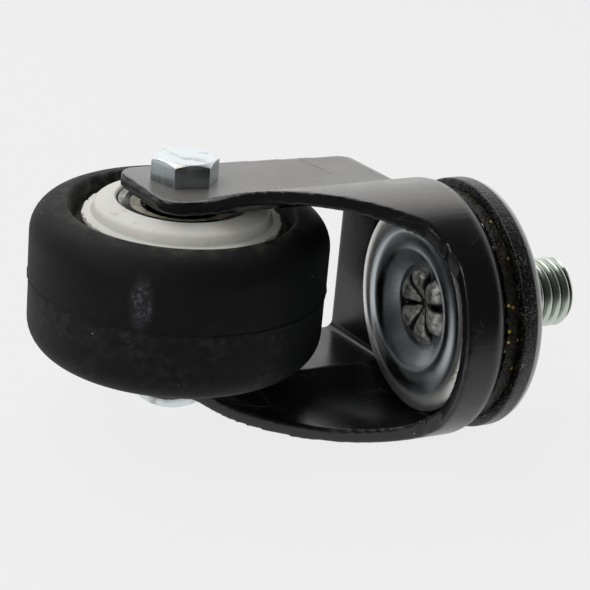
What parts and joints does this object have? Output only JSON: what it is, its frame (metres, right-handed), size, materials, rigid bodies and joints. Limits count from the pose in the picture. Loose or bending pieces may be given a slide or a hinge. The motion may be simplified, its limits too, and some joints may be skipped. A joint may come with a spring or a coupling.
{
  "type": "castor wheel",
  "caption": "Swivel castor with a threaded stem, a pressed steel fork and a rubber-tyred wheel on ball bearings.",
  "frame": {"origin": "on the swivel axis, in the mounting face of the swivel head, where the threaded stem leaves it", "axes": "+Z along the swivel axis towards the stem's end; the axle runs along Y; the wheel trails on the +X side"},
  "size_m": [0.0693, 0.0445, 0.0864],
  "materials": {
    "rubber_tyre": "matt moulded rubber, dusty",
    "white_hub": "matt moulded plastic",
    "black_fork": "semi-gloss black paint on pressed steel",
    "black_race": "gloss black paint on pressed steel",
    "zinc_stem": "zinc-plated steel",
    "zinc_race": "bright zinc-plated pressed steel",
    "zinc_bolt": "zinc-plated steel",
    "dark_steel": "dark oiled steel",
    "bearing_steel": "ground steel, greased",
    "cream_cage": "cream moulded plastic"
  },
  "bodies": {
    "mounting_head": {"threaded_stem": "zinc_stem", "top_race": "black_race", "lower_race": "zinc_race"},
    "fork_assembly": {"fork": "black_fork", "axle_bolt": "zinc_bolt", "axle_nut": "zinc_bolt", "axle_sleeve": "dark_steel", "distance_tube": "dark_steel", "head_side_collar": "dark_steel", "nut_side_collar": "dark_steel", "head_side_inner_ring": "bearing_steel", "nut_side_inner_ring": "bearing_steel"},
    "wheel": {"tyre": "rubber_tyre", "wheel_hub": "white_hub", "head_side_outer_ring": "bearing_steel", "nut_side_outer_ring": "bearing_steel"},
    "upper_ball_row": {"upper_swivel_balls": "bearing_steel"},
    "lower_ball_row": {"lower_swivel_balls": "bearing_steel"},
    "head_side_ball_set": {"head_side_balls": "bearing_steel", "head_side_cage": "cream_cage"},
    "nut_side_ball_set": {"nut_side_balls": "bearing_steel", "nut_side_cage": "cream_cage"}
  },
  "joints": [
    {"name": "swivel", "type": "hinge", "parent": "mounting_head", "child": "fork_assembly", "pos_m": [0, 0, 0], "axis": [0, 0, 1], "continuous": true},
    {"name": "wheel_spin", "type": "hinge", "parent": "fork_assembly", "child": "wheel", "pos_m": [0.0226, 0, -0.045], "axis": [0, 1, 0], "continuous": true},
    {"name": "upper_balls_roll", "type": "hinge", "parent": "mounting_head", "child": "upper_ball_row", "pos_m": [0, 0, 0], "axis": [0, 0, 1], "continuous": true},
    {"name": "lower_balls_roll", "type": "hinge", "parent": "mounting_head", "child": "lower_ball_row", "pos_m": [0, 0, 0], "axis": [0, 0, 1], "continuous": true},
    {"name": "head_side_balls_roll", "type": "hinge", "parent": "fork_assembly", "child": "head_side_ball_set", "pos_m": [0.0226, 0, -0.045], "axis": [0, 1, 0], "continuous": true},
    {"name": "nut_side_balls_roll", "type": "hinge", "parent": "fork_assembly", "child": "nut_side_ball_set", "pos_m": [0.0226, 0, -0.045], "axis": [0, 1, 0], "continuous": true}
  ],
  "couplings": [
    {"joint": "upper_balls_roll", "follows": "swivel", "ratio": 0.5},
    {"joint": "lower_balls_roll", "follows": "swivel", "ratio": 0.5},
    {"joint": "head_side_balls_roll", "follows": "wheel_spin", "ratio": 0.6184},
    {"joint": "nut_side_balls_roll", "follows": "wheel_spin", "ratio": 0.6184}
  ]
}
